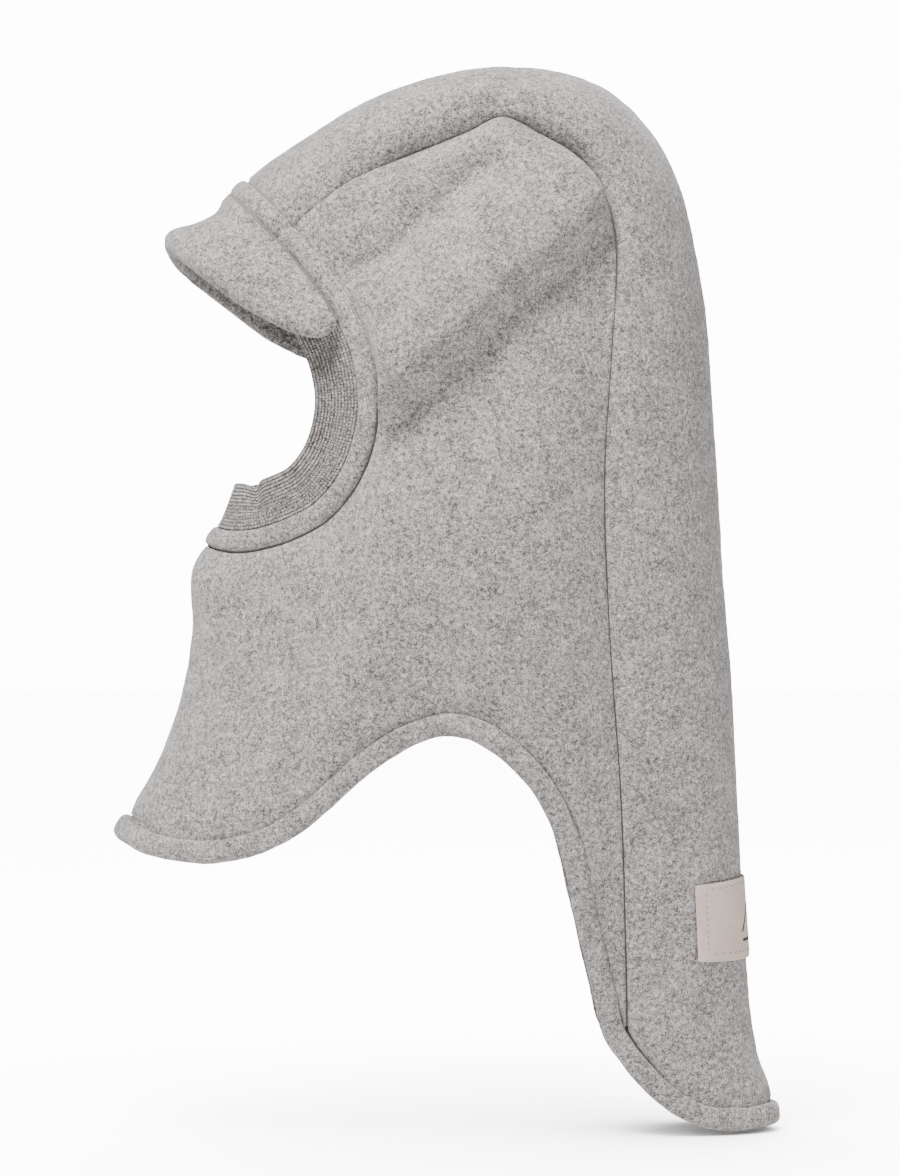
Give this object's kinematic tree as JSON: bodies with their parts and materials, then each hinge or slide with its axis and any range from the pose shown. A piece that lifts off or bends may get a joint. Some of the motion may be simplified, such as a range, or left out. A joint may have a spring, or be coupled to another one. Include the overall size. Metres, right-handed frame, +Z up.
{
  "type": "balaclava",
  "caption": "Soft fleece hood with a bound face opening, knitted rib cuff, short lifting brim, chest bib and a long back tail.",
  "frame": {"origin": "middle of the wearer's head, between the ears, where the hood is held", "axes": "+Z up along the wearer, -X the way the face looks, -Y the wearer's left"},
  "size_m": [0.2789, 0.119, 0.443],
  "materials": {
    "fleece": "heather grey wool fleece, brushed",
    "rib_knit": "fine rib knit, melange grey",
    "lining": "soft brushed jersey",
    "interlining": "pressed felt interlining",
    "patch": "matt pale patch, plain",
    "thread": "spun polyester sewing thread"
  },
  "bodies": {
    "hood": {"centre_panel": "fleece", "side_panel_left": "fleece", "side_panel_right": "fleece", "centre_lining": "lining", "side_lining_left": "lining", "side_lining_right": "lining", "face_binding": "fleece", "rib_cuff": "rib_knit", "hem_band": "fleece", "back_label": "patch", "label_stitches": "thread", "crown_seam_left": "thread", "crown_seam_right": "thread", "front_seam": "thread", "face_seam": "thread", "rib_seam": "thread", "hem_seam": "thread", "brim_seam": "thread"},
    "brim": {"brim_top": "fleece", "brim_underside": "fleece", "brim_stiffener": "interlining"}
  },
  "joints": [
    {"name": "brim_lift", "type": "hinge", "parent": "hood", "child": "brim", "pos_m": [-0.115, 0, 0.0452], "axis": [0, 1, 0], "range_deg": [0, 35]}
  ]
}
